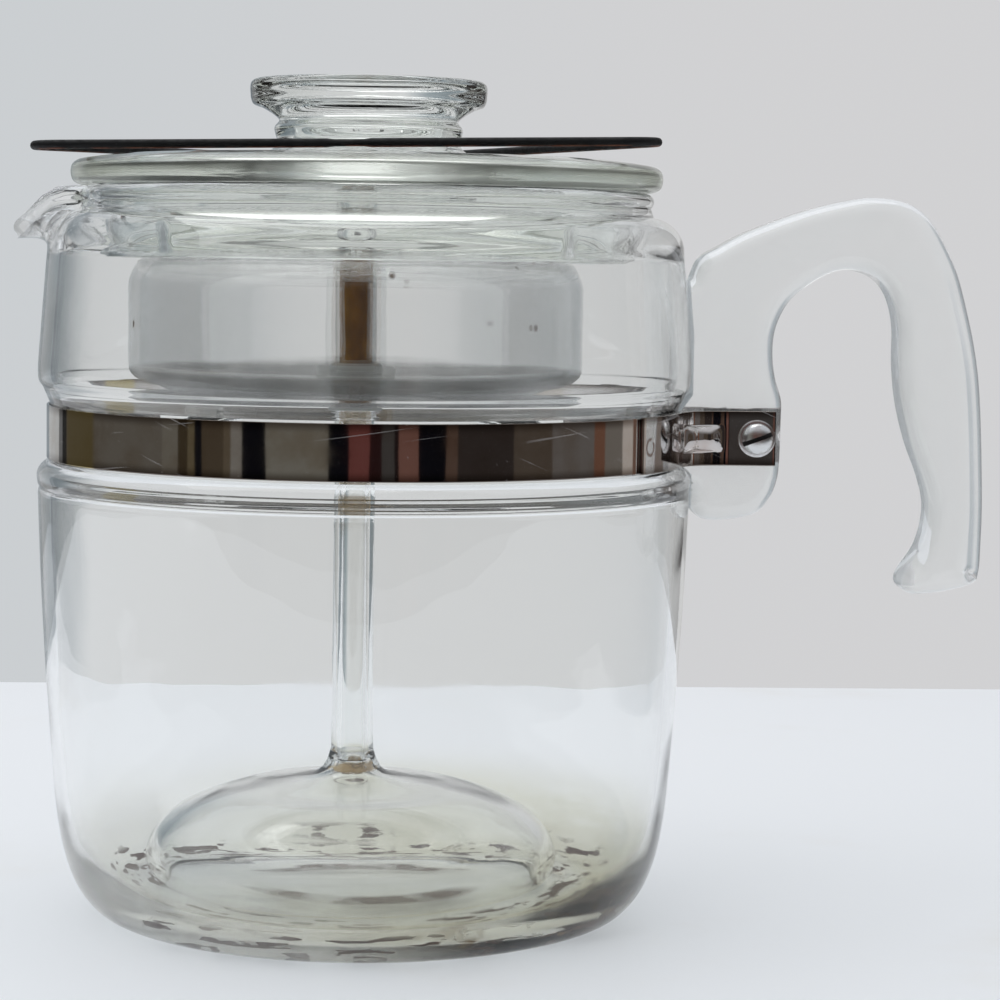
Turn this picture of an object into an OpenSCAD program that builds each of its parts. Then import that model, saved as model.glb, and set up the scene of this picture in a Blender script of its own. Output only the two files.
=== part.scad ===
// Glass stove-top coffee percolator with a clamped glass handle and a wire heat spreader.
// Origin: pot axis at the base plane. Handle on +X, pouring lip on -X, +Z up. Millimetres.

/* [Pot] */
// Widest outside diameter of the pot body
pot_d = 152.4; // [150:0.5:156]
// Height of the pot's rim above the base
rim_h = 169.7; // [168:0.1:170]
// Radius of the flat disc that the pot stands on
base_r = 52; // [46:1:54]
// Thickness of the pot's floor
floor_t = 5.2; // [4:0.1:5.3]

/* [Clamp] */
// Height of the strap
strap_h = 12.3; // [10:0.1:12.6]
// Height of the strap's lower edge
strap_z = 107.3; // [107:0.1:107.4]
// Height of the pressed brackets, half an inch
bracket_h = 12.7; // [11:0.1:12.9]
// Thickness of the strap
strap_t = 0.6; // [0.4:0.1:0.6]
// Thickness of the pressed bracket sheet
sheet_t = 0.8; // [0.6:0.1:1.2]
// Thickness of the cushion between bracket and handle
cushion_t = 0.9; // [0.6:0.1:1.4]
// Angle from the handle at which a bracket starts on the strap
bracket_a = 35; // [28:1:45]
// Radius of the bend from strap to ear
bend_r = 10; // [7:0.5:11]

/* [Handle] */
// Thickness of the glass handle
handle_t = 18; // [14:1:20]
// Distance of the clamp screw from the pot axis
screw_x = 90.8; // [90:0.1:91.5]

/* [Lid] */
// Outside diameter of the lid
lid_d = 137.4; // [136:0.2:139]
// Width of the lid's knob
knob_d = 55.2; // [50:0.2:56]
// Half of the angle that each locking lug on the lid's skirt spans
lug_a = 45; // [20:1:60]

/* [Pump] */
// Outside diameter of the pump stem
stem_d = 9.6; // [9.2:0.1:9.8]
// Bore of the pump stem
stem_bore = 5.2; // [5:0.1:6.4]
// Widest diameter of the pump's bell foot
bell_d = 97; // [90:1:98]
// How far the loose pump stands off the pot axis, along X
pump_x = -2.5; // [-4:0.1:0]

/* [Basket] */
// Outside diameter of the coffee basket
basket_d = 106; // [100:1:108]
// Height of the basket's underside
basket_z = 123; // [122:0.2:124]
// Number of drain slots in the basket floor
slots = 8; // [4:1:10]

/* [Wire trivet] */
// Side of the wire triangle before its corners are rounded
trivet_side = 146; // [142:1:150]
// Wire diameter
wire_d = 2; // [1.6:0.1:2.2]
// How far the loose triangle lies off the pot axis, along X
trivet_x = -4.5; // [-6:0.5:6]
// Lean of the loose triangle, its +X end up, in degrees
trivet_lean = 1.2; // [0:0.1:1.3]

/* [Hidden] */
$fn = 96;

gap = 0.3;               // play between loose pieces that rest on each other
pot_r = pot_d / 2;
strap_top = strap_z + strap_h;
clamp_z = strap_z + strap_h / 2 + 0.05;
groove_r = pot_r - 2.9;  // glass radius under the strap
strap_r = groove_r + 0.1 + strap_t;
bracket_r = strap_r + 0.05 + sheet_t;
ear_y = handle_t / 2 + cushion_t + sheet_t;
ear_end = screw_x + 4.5;
bend_x = sqrt(pow(bracket_r + bend_r, 2) - pow(ear_y + bend_r, 2));
bend_a = asin((ear_y + bend_r) / (bracket_r + bend_r));
stem_r = stem_d / 2;
stem_top = 168;
bell_r = bell_d / 2;
bell_z = floor_t + gap;
basket_r = basket_d / 2;
basket_top = 156;
wall = 2.6;              // basket wall
hub_z = basket_z - 4.5;
hub_h = 11;
hub_r = stem_r + 1.4;
cover_z = basket_top + gap;
cover_t = 3;
lid_z = rim_h + gap;     // underside of the lid's rim
lid_r = lid_d / 2;
lid_top = 177.2;
knob_r = knob_d / 2;
knob_top = 195;
screw_r = 1.75;          // number 6 machine screw
head_r = 3.6;
head_h = 2.3;
nut_af = 7.9;
nut_h = 2.8;
washer_r = 4.35;
washer_t = 0.7;
lock_t = 0.9;
trivet_z = lid_top + wire_d / 2 + (49.5 + trivet_x) * sin(trivet_lean); // leans on the lid's edge
trivet_corner = 6;

// Points along an arc about c, from angle a0 to a1
function arc(c, r, a0, a1, n = 8) =
    [for (i = [0:n]) let (a = a0 + (a1 - a0) * i / n) c + r * [cos(a), sin(a)]];

// One point of a Catmull-Rom curve from b to c
function blend_point(a, b, c, d, t) =
    0.5 * (2 * b + t * (c - a) + t * t * (2 * a - 5 * b + 4 * c - d)
           + t * t * t * (3 * b - a - 3 * c + d));

// Smooth open curve through points, n steps between each two
function smooth(p, n = 4) =
    let (last = len(p) - 1)
    concat([for (i = [0:last - 1], k = [0:n - 1])
                blend_point(p[max(i - 1, 0)], p[i], p[i + 1], p[min(i + 2, last)], k / n)],
           [p[last]]);

function reversed(p) = [for (i = [len(p) - 1:-1:0]) p[i]];

// Outside of the pot wall above its flat base, as [radius, height]
pot_outside = smooth([
    [base_r, 0], [63.2, 3.1], [68, 10], [71.3, 22.6], [73.4, 46.4], [75.1, 74.8],
    [pot_r - 0.1, 100.5], [pot_r, 104], [pot_r - 1.2, 105.9], [groove_r, 106.8],
    [groove_r, strap_top + 0.5], [pot_r - 1.5, 123.4], [pot_r - 0.2, 126.6],
    [pot_r - 0.9, 137.7], [pot_r - 2, 151.6]]);
shoulder = arc([pot_r - 10.4, 156.2], 8, 0, 84);
rim_bead = arc([64.7, rim_h - 1.9], 1.9, -50, 180);
pot_inside = smooth([
    [62.8, 164.5], [64, 162.4], [68.2, 160], [70.7, 155.6], [71.4, 151], [72.5, 138],
    [73.2, 128], [72.3, 123.4], [70.6, 118.6], [70.5, 108.4], [72.6, 104], [73.3, 99],
    [72.2, 75], [70.5, 46], [68.4, 24], [65, 13.5], [59, 7.4], [50, floor_t]]);

module ring_of(points) {
    rotate_extrude() polygon(points);
}

// Extrudes an outline drawn as [x, z], centred on the XZ plane
module upright(width) {
    rotate([90, 0, 0]) translate([0, 0, -width / 2]) linear_extrude(width) children();
}

// Cylinder along Y from y0 to y1 at the clamp screw's centre
module screw_line(r, y0, y1) {
    translate([screw_x, y0, clamp_z]) rotate([-90, 0, 0]) cylinder(h = y1 - y0, r = r);
}

// Folded pouring lip at the neck, with the channel that the coffee runs along
module pouring_lip() {
    neck_r = 63;
    half_w = 14;
    tip_r = 5;
    channel_r = 3.4;
    side_view = concat(
        smooth([[-64.6, rim_h - 0.6], [-70.6, 169.1], [-74.4, 168], [-76.9, 165.3], [-80, 163.3],
                [-82.3, 160.6], [-81.8, 157.8], [-80.3, 157.2], [-78.2, 158]]),
        [[-75.6, 160.6], [-72.2, 161.8], [-66, 163.5]]);
    top_view = concat([[3 - neck_r, -half_w], [3 - neck_r, half_w], [-neck_r - 5, half_w - 2]],
                      arc([tip_r - 82.5, 0], tip_r, 110, 250), [[-neck_r - 5, 2 - half_w]]);
    difference() {
        intersection() {
            upright(2 * half_w) polygon(side_view);
            linear_extrude(200) polygon(top_view);
        }
        translate([-84, 0, 163.6]) rotate([0, 66, 0]) cylinder(h = 24, r = channel_r);
        cylinder(h = 200, r = neck_r);
    }
}

module pot_body() {
    color("lightcyan", 0.4) {
        ring_of(concat([[0, 0]], pot_outside, shoulder, rim_bead, pot_inside, [[0, floor_t]]));
        pouring_lip();
    }
}

// Side view of the handle: grip, upper arm, pot-side block and lower pad
handle_outline = concat(
    smooth([[72, 145], [75.3, 150], [77.6, 155.3], [82.1, 158], [89.6, 161.9], [102.5, 166.7],
            [112.4, 169.2], [118.5, 169.9], [125.5, 168.8], [131, 165], [135.7, 157.4],
            [139.2, 148.4], [143.5, 128.8], [145.3, 102.3], [145.3, 88], [145, 81.8],
            [143.4, 79.1], [136.9, 77.4], [130.4, 76.7], [127.4, 77], [126.2, 78.8],
            [127, 81.6], [131.2, 88.4], [132.8, 96.5], [131.4, 103.6], [128, 112.6],
            [125.6, 122], [124.6, 131], [124.4, 140], [122.5, 147], [118.6, 151.3], [112, 153],
            [105.6, 150.9], [99, 145.9], [95.7, 139.8], [94.9, 134], [95.5, 127.9],
            [97.2, 122.4], [97.4, 119]], 3),
    smooth([[97, 106], [96.4, 103], [95, 99.5], [91.5, 95.6], [84, 93.8], [78.6, 94.2],
            [75.9, 97.5], [75.6, 102], [70, 105]], 3));

module handle() {
    color("ghostwhite", 0.6)
    difference() {
        upright(handle_t) polygon(handle_outline);
        // saddle that follows the pot, with a key that fills the groove between the strap's ends
        ring_of([[0, 80], [pot_r + gap, 80], [pot_r + gap, 104.8], [groove_r + 0.3, 107.4],
                 [groove_r + 0.3, strap_top - 0.4], [pot_r + gap, 123.4],
                 [pot_r + gap, 137], [pot_r - 1.4, 156], [pot_r - 6, 164], [0, 164]]);
        screw_line(screw_r + 0.6, -handle_t, handle_t);
    }
}

module band_strap() {
    color("silver")
    difference() {
        translate([0, 0, strap_z]) cylinder(h = strap_h, r = strap_r);
        translate([0, 0, strap_z - 1]) cylinder(h = strap_h + 2, r = strap_r - strap_t);
        translate([0, 0, strap_z - 1]) linear_extrude(strap_h + 2)
            polygon([[0, 0], 100 * [cos(bend_a), sin(bend_a)], 100 * [cos(bend_a), -sin(bend_a)]]);
    }
}

// Line at a depth below the bracket's outer face: along the strap, round the bend, out along the ear
function bracket_line(depth) = concat(
    arc([0, 0], bracket_r - depth, -bracket_a, -bend_a, 6),
    arc([bend_x, -ear_y - bend_r], bend_r + depth, 180 - bend_a, 90, 8),
    [[ear_end, depth - ear_y]]);

module bracket_front() {
    difference() {
        union() {
            translate([0, 0, clamp_z - bracket_h / 2]) linear_extrude(bracket_h)
                polygon(concat(bracket_line(0), reversed(bracket_line(sheet_t))));
            // stiffening rib pressed across the bend
            intersection() {
                translate([0, 0, clamp_z - 2.6]) linear_extrude(5.2)
                    polygon(concat(bracket_line(-1.4), reversed(bracket_line(sheet_t / 2))));
                translate([bend_x - 3.6, -ear_y - 6, clamp_z]) rotate([0, 0, 38])
                    rotate([0, 90, 0]) translate([0, 0, -6]) cylinder(h = 12, r = 6);
            }
        }
        screw_line(screw_r + 0.2, -30, 0);
    }
}

module clamp_bracket_front() {
    color("gainsboro") bracket_front();
}

module clamp_bracket_rear() {
    color("gainsboro") mirror([0, 1, 0]) bracket_front();
}

module cushion(side) {
    color([0.12, 0.1, 0.09])
    difference() {
        translate([pot_r + 4, min(side * handle_t / 2, side * (handle_t / 2 + cushion_t)),
                   clamp_z - bracket_h / 2 - 0.2])
            cube([ear_end - pot_r - 4.6, cushion_t, bracket_h + 0.4]);
        screw_line(screw_r + 0.4, -30, 30);
    }
}

module cushion_front() {
    cushion(-1);
}

module cushion_rear() {
    cushion(1);
}

module clamp_washer() {
    color("lightgrey")
    difference() {
        screw_line(washer_r, -ear_y - washer_t, -ear_y);
        screw_line(screw_r + 0.2, -30, 30);
    }
}

// Pan-head screw with a single slot
module clamp_screw() {
    head_y = -ear_y - washer_t - 0.05;
    color("silver")
    difference() {
        union() {
            screw_line(screw_r, head_y - 0.5, ear_y + lock_t + nut_h + 1.2);
            intersection() {
                screw_line(head_r, head_y - head_h, head_y);
                translate([screw_x, head_y + 2.1, clamp_z]) sphere(r = 4.6);
            }
        }
        translate([screw_x, head_y - head_h, clamp_z]) rotate([0, -20, 0])
            cube([10, 2.2, 1], center = true);
    }
}

module lock_washer() {
    color("dimgray")
    difference() {
        screw_line(washer_r - 1.2, ear_y, ear_y + lock_t);
        screw_line(screw_r + 0.2, -30, 30);
        translate([screw_x, ear_y + lock_t / 2, clamp_z + washer_r / 2])
            rotate([0, 25, 0]) cube([0.8, 4, washer_r], center = true);
    }
}

module clamp_nut() {
    color("darkgray")
    difference() {
        translate([screw_x, ear_y + lock_t, clamp_z]) rotate([-90, 0, 0])
            cylinder(h = nut_h, r = nut_af / sqrt(3), $fn = 6);
        screw_line(screw_r + 0.05, 0, 40);
    }
}

// Bell foot, flare and hollow stem in one piece of glass
module pump() {
    outside = smooth([[bell_r - 1.6, bell_z], [bell_r - 0.2, 9.5], [bell_r, 14], [bell_r - 2.6, 19.6],
                      [39.5, 25], [27, 29.6], [13, 31.9], [7.6, 33.6], [stem_r + 0.6, 37.4],
                      [stem_r, 42]]);
    inside = smooth([[stem_bore / 2, 42], [stem_bore / 2 + 0.3, 36], [5.2, 31.6], [11, 29.2],
                     [26, 26.7], [37.6, 22.4], [bell_r - 5.2, 17.8], [bell_r - 3.2, 13.4],
                     [bell_r - 3.4, 9.5], [bell_r - 4.4, bell_z]]);
    color("azure", 0.5) translate([pump_x, 0, 0]) {
        ring_of(concat(outside, [[stem_r, stem_top - 1], [stem_r - 0.6, stem_top],
                                 [stem_bore / 2, stem_top]], inside));
        // shoulder that carries the basket
        ring_of([[stem_r - 0.3, hub_z - 2.6], [stem_r + 1, hub_z - 1.7],
                 [stem_r + 1, hub_z - gap], [stem_r - 0.3, hub_z - gap]]);
    }
}

module basket() {
    outside = concat([[hub_r - 1, basket_z]],
                     arc([basket_r - 6, basket_z + 6], 6, -90, 0),
                     arc([basket_r - 9, basket_top - 9], 9, 0, 80));
    inside = concat(arc([basket_r - 9, basket_top - 9], 9 - wall, 75, 0),
                    arc([basket_r - 6.4, basket_z + wall + 3.8], 3.8, 0, -90),
                    [[hub_r - 1, basket_z + wall]]);
    color("azure", 0.5) translate([pump_x, 0, 0])
    difference() {
        union() {
            ring_of(concat(outside, inside));
            translate([0, 0, hub_z]) cylinder(h = hub_h, r = hub_r);
        }
        translate([0, 0, hub_z - 1]) cylinder(h = hub_h + 2, r = stem_r + 0.2);
        for (i = [0:slots - 1]) rotate(360 * i / slots)
            translate([25, -1.2, basket_z - 1]) cube([12, 2.4, wall + 2]);
    }
}

// Perforated spreader that rests on the basket's rim
module basket_cover() {
    color("azure", 0.5) translate([pump_x, 0, 0])
    difference() {
        ring_of(concat([[0, cover_z], [basket_r - 7.2, cover_z]],
                       arc([basket_r - 4.5, cover_z + cover_t / 2], cover_t / 2, -90, 90),
                       [[stem_r + 3, cover_z + cover_t], [0, cover_z + cover_t - 0.8]]));
        translate([0, 0, cover_z - 1]) cylinder(h = cover_t + 2, r = stem_r + 0.6);
        for (ring = [1:3], i = [0:8 * ring - 1])
            rotate(45 * i / ring) translate([12 * ring, 0, cover_z - 1])
                cylinder(h = cover_t + 2, r = 1, $fn = 24);
    }
}

// Two lugs on the lid's skirt, at -X and +X
module locking_lugs() {
    for (side = [0, 180]) intersection() {
        ring_of([[59.5, 155.4], [61.4, 155.4], [62.4, 156.4], [62.4, 161.2], [60.5, 162.6]]);
        rotate(side) linear_extrude(200) polygon([[0, 0], 99 * [cos(lug_a), -sin(lug_a)],
                                                  99 * [cos(lug_a), sin(lug_a)]]);
    }
}

module lid() {
    knob = smooth([[0, 191.6], [16, 191.9], [knob_r - 4, 193.2], [knob_r - 2, knob_top],
                   [knob_r - 0.4, 194.4], [knob_r - 0.1, 192.4], [knob_r - 0.7, 189.5],
                   [24.2, 188.3], [20.9, 185.9], [21.9, 183.8], [21.4, 180.2], [24.5, 178],
                   [32, lid_top]]);
    rim = smooth([[lid_r - 10, lid_top - 0.3], [lid_r - 3.2, lid_top - 1.2], [lid_r - 1.2, 175.4],
                  [lid_r - 0.2, 174.2], [lid_r - 0.1, 172.2], [lid_r - 0.8, 170.7],
                  [lid_r - 2.6, lid_z], [63.6, lid_z]]);
    skirt = smooth([[61.9, 168.4], [61.6, 162.7], [60.8, 155.2], [59.6, 153.9], [58, 155],
                    [58.4, 163], [57.6, 170.4], [54, 173.2], [40, 173.9], [24, 174.4],
                    [19.4, 176.6], [18.4, 181], [17.6, 185.6], [14.6, 188], [0, 188.6]]);
    color("honeydew", 0.5) {
        ring_of(concat(knob, rim, skirt));
        locking_lugs();
    }
}

// Triangle with rounded corners, grown sideways from the wire's centre line, front side along X
function trivet_loop(grow) = [for (i = [0:2])
    each arc((trivet_side / sqrt(3) - 2 * trivet_corner) * [cos(120 * i - 30), sin(120 * i - 30)],
             trivet_corner + grow, 120 * i - 90, 120 * i + 30, 6)];

// Layer of the wire ring between two heights, counted in wire radii from its centre line
module wire_layer(low, high, half_width) {
    r = wire_d / 2;
    translate([0, 0, low * r]) linear_extrude((high - low) * r) difference() {
        polygon(trivet_loop(half_width * r));
        polygon(trivet_loop(-half_width * r));
    }
}

module wire_trivet() {
    color([0.1, 0.1, 0.1])
    translate([trivet_x, 0, trivet_z]) rotate([0, -trivet_lean, 0]) {
        wire_layer(-1, -0.45, 0.7);
        wire_layer(-0.45, 0.45, 1);
        wire_layer(0.45, 1, 0.7);
    }
}

pot_body();
handle();
band_strap();
clamp_bracket_front();
clamp_bracket_rear();
cushion_front();
cushion_rear();
clamp_washer();
clamp_screw();
lock_washer();
clamp_nut();
pump();
basket();
basket_cover();
lid();
wire_trivet();
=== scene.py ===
"""Looks of the glass percolator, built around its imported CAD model. Lengths are in millimetres."""
import math

import bmesh
import bpy
from mathutils import Matrix, Vector, noise


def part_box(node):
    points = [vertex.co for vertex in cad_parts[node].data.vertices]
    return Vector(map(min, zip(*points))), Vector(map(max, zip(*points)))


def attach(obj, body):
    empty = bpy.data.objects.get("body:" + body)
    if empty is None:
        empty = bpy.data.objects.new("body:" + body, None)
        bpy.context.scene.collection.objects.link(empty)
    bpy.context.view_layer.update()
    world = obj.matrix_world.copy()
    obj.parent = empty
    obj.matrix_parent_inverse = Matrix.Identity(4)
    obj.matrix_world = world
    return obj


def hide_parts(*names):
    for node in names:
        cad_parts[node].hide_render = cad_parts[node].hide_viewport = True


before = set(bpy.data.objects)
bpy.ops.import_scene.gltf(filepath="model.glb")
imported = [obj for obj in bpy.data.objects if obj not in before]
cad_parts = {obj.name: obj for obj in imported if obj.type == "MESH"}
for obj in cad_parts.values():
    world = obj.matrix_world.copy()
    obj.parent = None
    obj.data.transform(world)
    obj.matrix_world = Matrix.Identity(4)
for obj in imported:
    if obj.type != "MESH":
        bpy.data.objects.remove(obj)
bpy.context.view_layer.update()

MM = 0.001


def extent(node):
    """Lowest and highest corners of a CAD node, in millimetres."""
    low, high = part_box(node)
    return low / MM, high / MM


# Driving sizes, read from the frame
_, POT_HIGH = extent("pot_body")
STRAP_LOW, STRAP_HIGH = extent("band_strap")
HANDLE_LOW, HANDLE_HIGH = extent("handle")
EAR_LOW, EAR_HIGH = extent("clamp_bracket_front")
SCREW_LOW, SCREW_HIGH = extent("clamp_screw")
WASHER_LOW, WASHER_HIGH = extent("clamp_washer")
LOCK_LOW, LOCK_HIGH = extent("lock_washer")
NUT_LOW, NUT_HIGH = extent("clamp_nut")
CUSHION_LOW, CUSHION_HIGH = extent("cushion_front")
PUMP_LOW, PUMP_HIGH = extent("pump")
BASKET_LOW, BASKET_HIGH = extent("basket")
COVER_LOW, COVER_HIGH = extent("basket_cover")
_, LID_HIGH = extent("lid")
WIRE_LOW, WIRE_HIGH = extent("wire_trivet")

RIM_Z = POT_HIGH.z
STRAP_R = STRAP_HIGH.y
POT_R = STRAP_R + 2.2
GROOVE_R = STRAP_R - 0.7
CLAMP_Z = (WASHER_LOW.z + WASHER_HIGH.z) / 2
SCREW_X = (WASHER_LOW.x + WASHER_HIGH.x) / 2
SLOT_SLOPE = math.radians(20)
SHEET = 0.8
HOLE_R = 1.95            # screw holes in the steel pieces
EAR_Y = -WASHER_HIGH.y
PUMP_X = (PUMP_LOW.x + PUMP_HIGH.x) / 2
HANDLE_T = HANDLE_HIGH.y - HANDLE_LOW.y
BELL_R = PUMP_HIGH.y
STEM_R = 4.8
BORE_R = 2.6
BASKET_R = BASKET_HIGH.y
BASKET_FLOOR = BASKET_LOW.z + 4.5
LID_R = LID_HIGH.x
KNOB_TOP = LID_HIGH.z


# Outlines

def arc(centre, radius, start, end, steps=10):
    """Points on an arc, with its angles in degrees."""
    angles = [math.radians(start + (end - start) * i / steps) for i in range(steps + 1)]
    return [(centre[0] + radius * math.cos(a), centre[1] + radius * math.sin(a)) for a in angles]


def smooth(points, steps=6, closed=False):
    """Catmull-Rom curve through the points."""
    p = [Vector(q) for q in points]
    count = len(p)
    curve = []
    for i in range(count if closed else count - 1):
        if closed:
            a, b, c, d = (p[(i + k) % count] for k in (-1, 0, 1, 2))
        else:
            a, b, c, d = p[max(i - 1, 0)], p[i], p[i + 1], p[min(i + 2, count - 1)]
        for k in range(steps):
            t = k / steps
            q = 2 * b + t * (c - a) + t * t * (2 * a - 5 * b + 4 * c - d)
            q += t ** 3 * (3 * b - a - 3 * c + d)
            curve.append(tuple(q / 2))
    if not closed:
        curve.append(tuple(p[-1]))
    return curve


def refine(points, spacing):
    """The same open line, its long straight stretches cut into short ones."""
    fine = [points[0]]
    for a, b in zip(points, points[1:]):
        count = max(1, math.ceil(math.dist(a, b) / spacing))
        steps = (k / count for k in range(1, count + 1))
        fine += [(a[0] + (b[0] - a[0]) * t, a[1] + (b[1] - a[1]) * t) for t in steps]
    return fine


def resample(points, spacing):
    """A closed line's points, spaced evenly."""
    p = [Vector(q) for q in points]
    lengths = [(p[(i + 1) % len(p)] - p[i]).length for i in range(len(p))]
    total = sum(lengths)
    count = round(total / spacing)
    even, i, passed = [], 0, 0.0
    for k in range(count):
        goal = total * k / count
        while passed + lengths[i] < goal:
            passed += lengths[i]
            i += 1
        even.append(p[i].lerp(p[(i + 1) % len(p)], (goal - passed) / lengths[i]))
    return even


def ease(value, low, high):
    """0 below low, 1 above high, and a smooth step between."""
    t = min(max((value - low) / (high - low), 0), 1)
    return t * t * (3 - 2 * t)


# Meshes

def add_object(name, data):
    made = bpy.data.objects.new(name, data)
    bpy.context.scene.collection.objects.link(made)
    return made


def shade(mesh, sharp=None):
    """Smooth shading. Edges bent by more than sharp degrees stay crisp."""
    mesh.shade_smooth()
    if sharp:
        mesh.set_sharp_from_angle(angle=math.radians(sharp))


def make_piece(name, verts, faces, sharp=None):
    """A smooth-shaded object from points in millimetres."""
    mesh = bpy.data.meshes.new(name)
    mesh.from_pydata([Vector(v) * MM for v in verts], [], faces)
    tidy = bmesh.new()
    tidy.from_mesh(mesh)
    bmesh.ops.recalc_face_normals(tidy, faces=tidy.faces)
    tidy.to_mesh(mesh)
    tidy.free()
    shade(mesh, sharp)
    return add_object(name, mesh)


def lathe(name, profile, segments=180, warp=None, sharp=None):
    """Solid of revolution about Z. The profile starts and ends on the axis, or else closes on itself."""
    verts, rings = [], []
    for r, z in refine(profile, 1.6):
        if r < 1e-4:
            rings.append([len(verts)])
            verts.append(Vector((0, 0, z)))
            continue
        rings.append(list(range(len(verts), len(verts) + segments)))
        for i in range(segments):
            a = 2 * math.pi * i / segments
            verts.append(Vector((r * math.cos(a), r * math.sin(a), z)))
    if warp:
        verts = [warp(v) for v in verts]
    faces = []
    pairs = list(zip(rings, rings[1:]))
    if len(rings[0]) > 1:
        pairs.append((rings[-1], rings[0]))
    for low, high in pairs:
        for i in range(segments):
            j = (i + 1) % segments
            corners = [low[i % len(low)], low[j % len(low)], high[j % len(high)], high[i % len(high)]]
            faces.append(tuple(dict.fromkeys(corners)))
    return make_piece(name, verts, faces, sharp)


def make_drill(radius, low, high, segments):
    """A cylinder about Z that only cuts."""
    return lathe("cutter", [(0, low), (radius, low), (radius, high), (0, high)], segments)


def loft(name, loops, closed=False, sharp=None):
    """Skin over loops of equally many points, capped at both ends unless the last loop joins the first."""
    size = len(loops[0])
    verts = [p for loop in loops for p in loop]
    faces = []
    for k in range(len(loops) if closed else len(loops) - 1):
        low, high = k * size, (k + 1) % len(loops) * size
        for i in range(size):
            j = (i + 1) % size
            faces.append((low + i, low + j, high + j, high + i))
    if not closed:
        faces.append(tuple(range(size)))
        faces.append(tuple(range(len(verts) - size, len(verts))))
    return make_piece(name, verts, faces, sharp)


def inner_reach(line, normals):
    """For each point of a closed line, the radius of the widest circle that touches it from inside."""
    reach = []
    for p, n in zip(line, normals):
        best = 1e3
        for q in line:
            d = q - p
            ahead = d.dot(n)
            if ahead > 1e-3:
                best = min(best, d.length_squared / (2 * ahead))
        reach.append(best)
    return reach


def rounded_slab(name, outline, thickness, edge_in, edge_back, steps=8):
    """An outline in the XZ plane, as thick as told along Y and centred on it, with rounded edges."""
    line = resample(outline, 0.9)
    count = len(line)
    area = sum(line[i].cross(line[(i + 1) % count]) for i in range(count))
    side = 1 if area > 0 else -1
    normals = []
    for i in range(count):
        along = (line[(i + 1) % count] - line[i - 1]).normalized()
        normals.append(Vector((-along.y, along.x)) * side)
    reach = inner_reach(line, normals)
    half = []
    for k in range(steps + 1):
        a = math.pi / 2 * k / steps
        y = thickness / 2 - edge_back * (1 - math.sin(a))
        inset = [min(edge_in, 0.8 * r) * (1 - math.cos(a)) for r in reach]
        half.append([(p.x + n.x * s, y, p.y + n.y * s) for p, n, s in zip(line, normals, inset)])
    mirrored = [[(x, -y, z) for x, y, z in loop] for loop in reversed(half)]
    return loft(name, mirrored + half)


def tube(name, path, radius, sides=16):
    """Closed round wire along a level path. radius(i) gives its half width and its half height there."""
    count = len(path)
    loops = []
    for i, p in enumerate(path):
        along = (path[(i + 1) % count] - path[i - 1]).normalized()
        out = Vector((along.y, -along.x, 0))
        wide, high = radius(i)
        loops.append([p + out * wide * math.cos(a) + Vector((0, 0, high * math.sin(a)))
                      for a in (2 * math.pi * k / sides for k in range(sides))])
    return loft(name, loops, closed=True)


def pressed_sheet(name, line, low, high, thickness, boss=None, rows=24, edge=0.15):
    """A strip of sheet standing on a plan line, drawn along its outer face. boss(i, z) pushes it out."""
    count = len(line)
    margin = 2 * edge
    heights = [low] + [low + margin + (high - low - 2 * margin) * j / rows for j in range(rows + 1)] + [high]
    rows = len(heights) - 1
    normals = []
    for i in range(count):
        along = (Vector(line[min(i + 1, count - 1)]) - Vector(line[max(i - 1, 0)])).normalized()
        normals.append(Vector((along.y, -along.x)))
    grid = {}
    verts, faces = [], []
    for layer in range(2):
        for i in range(count):
            for j, z in enumerate(heights):
                push = (boss(i, z) if boss else 0) - layer * thickness
                grid[layer, i, j] = len(verts)
                x, y = Vector(line[i]) + normals[i] * push
                verts.append((x, y, z))
    for layer in range(2):
        for i in range(count - 1):
            for j in range(rows):
                faces.append((grid[layer, i, j], grid[layer, i + 1, j],
                              grid[layer, i + 1, j + 1], grid[layer, i, j + 1]))
    for i in range(count - 1):
        for j in (0, rows):
            faces.append((grid[0, i, j], grid[0, i + 1, j], grid[1, i + 1, j], grid[1, i, j]))
    for j in range(rows):
        for i in (0, count - 1):
            faces.append((grid[0, i, j], grid[0, i, j + 1], grid[1, i, j + 1], grid[1, i, j]))
    piece = make_piece(name, verts, faces)
    bevel(piece, edge)
    return piece


def apply_modifier(piece, modifier):
    """Makes one modifier's result the piece's own mesh."""
    depsgraph = bpy.context.evaluated_depsgraph_get()
    mesh = bpy.data.meshes.new_from_object(piece.evaluated_get(depsgraph))
    piece.modifiers.remove(modifier)
    piece.data = mesh


def bevel(piece, width, angle=40, segments=3):
    """Rounds a piece's crisp edges."""
    modifier = piece.modifiers.new("edges", "BEVEL")
    modifier.width = width * MM
    modifier.segments = segments
    modifier.limit_method = "ANGLE"
    modifier.angle_limit = math.radians(angle)
    apply_modifier(piece, modifier)
    shade(piece.data, angle)


def cut(piece, cutters, sharp=30):
    """Takes the cutters away from a piece."""
    for cutter in cutters:
        modifier = piece.modifiers.new("cut", "BOOLEAN")
        modifier.object = cutter
        modifier.operation = "DIFFERENCE"
        modifier.solver = "EXACT"
        apply_modifier(piece, modifier)
        bpy.data.objects.remove(cutter)
    shade(piece.data, sharp)


def block(low, high):
    """A plain box that only cuts."""
    (x0, y0, z0), (x1, y1, z1) = low, high
    verts = [(x, y, z) for x in (x0, x1) for y in (y0, y1) for z in (z0, z1)]
    faces = [(0, 1, 3, 2), (4, 6, 7, 5), (0, 4, 5, 1), (2, 3, 7, 6), (0, 2, 6, 4), (1, 5, 7, 3)]
    return make_piece("cutter", verts, faces)


def centre_on_pump(piece):
    """Moves a piece drawn about Z onto the loose pump's own axis."""
    piece.data.transform(Matrix.Translation((PUMP_X * MM, 0, 0)))


TO_SCREW = Matrix.Translation((SCREW_X * MM, 0, CLAMP_Z * MM))


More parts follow.
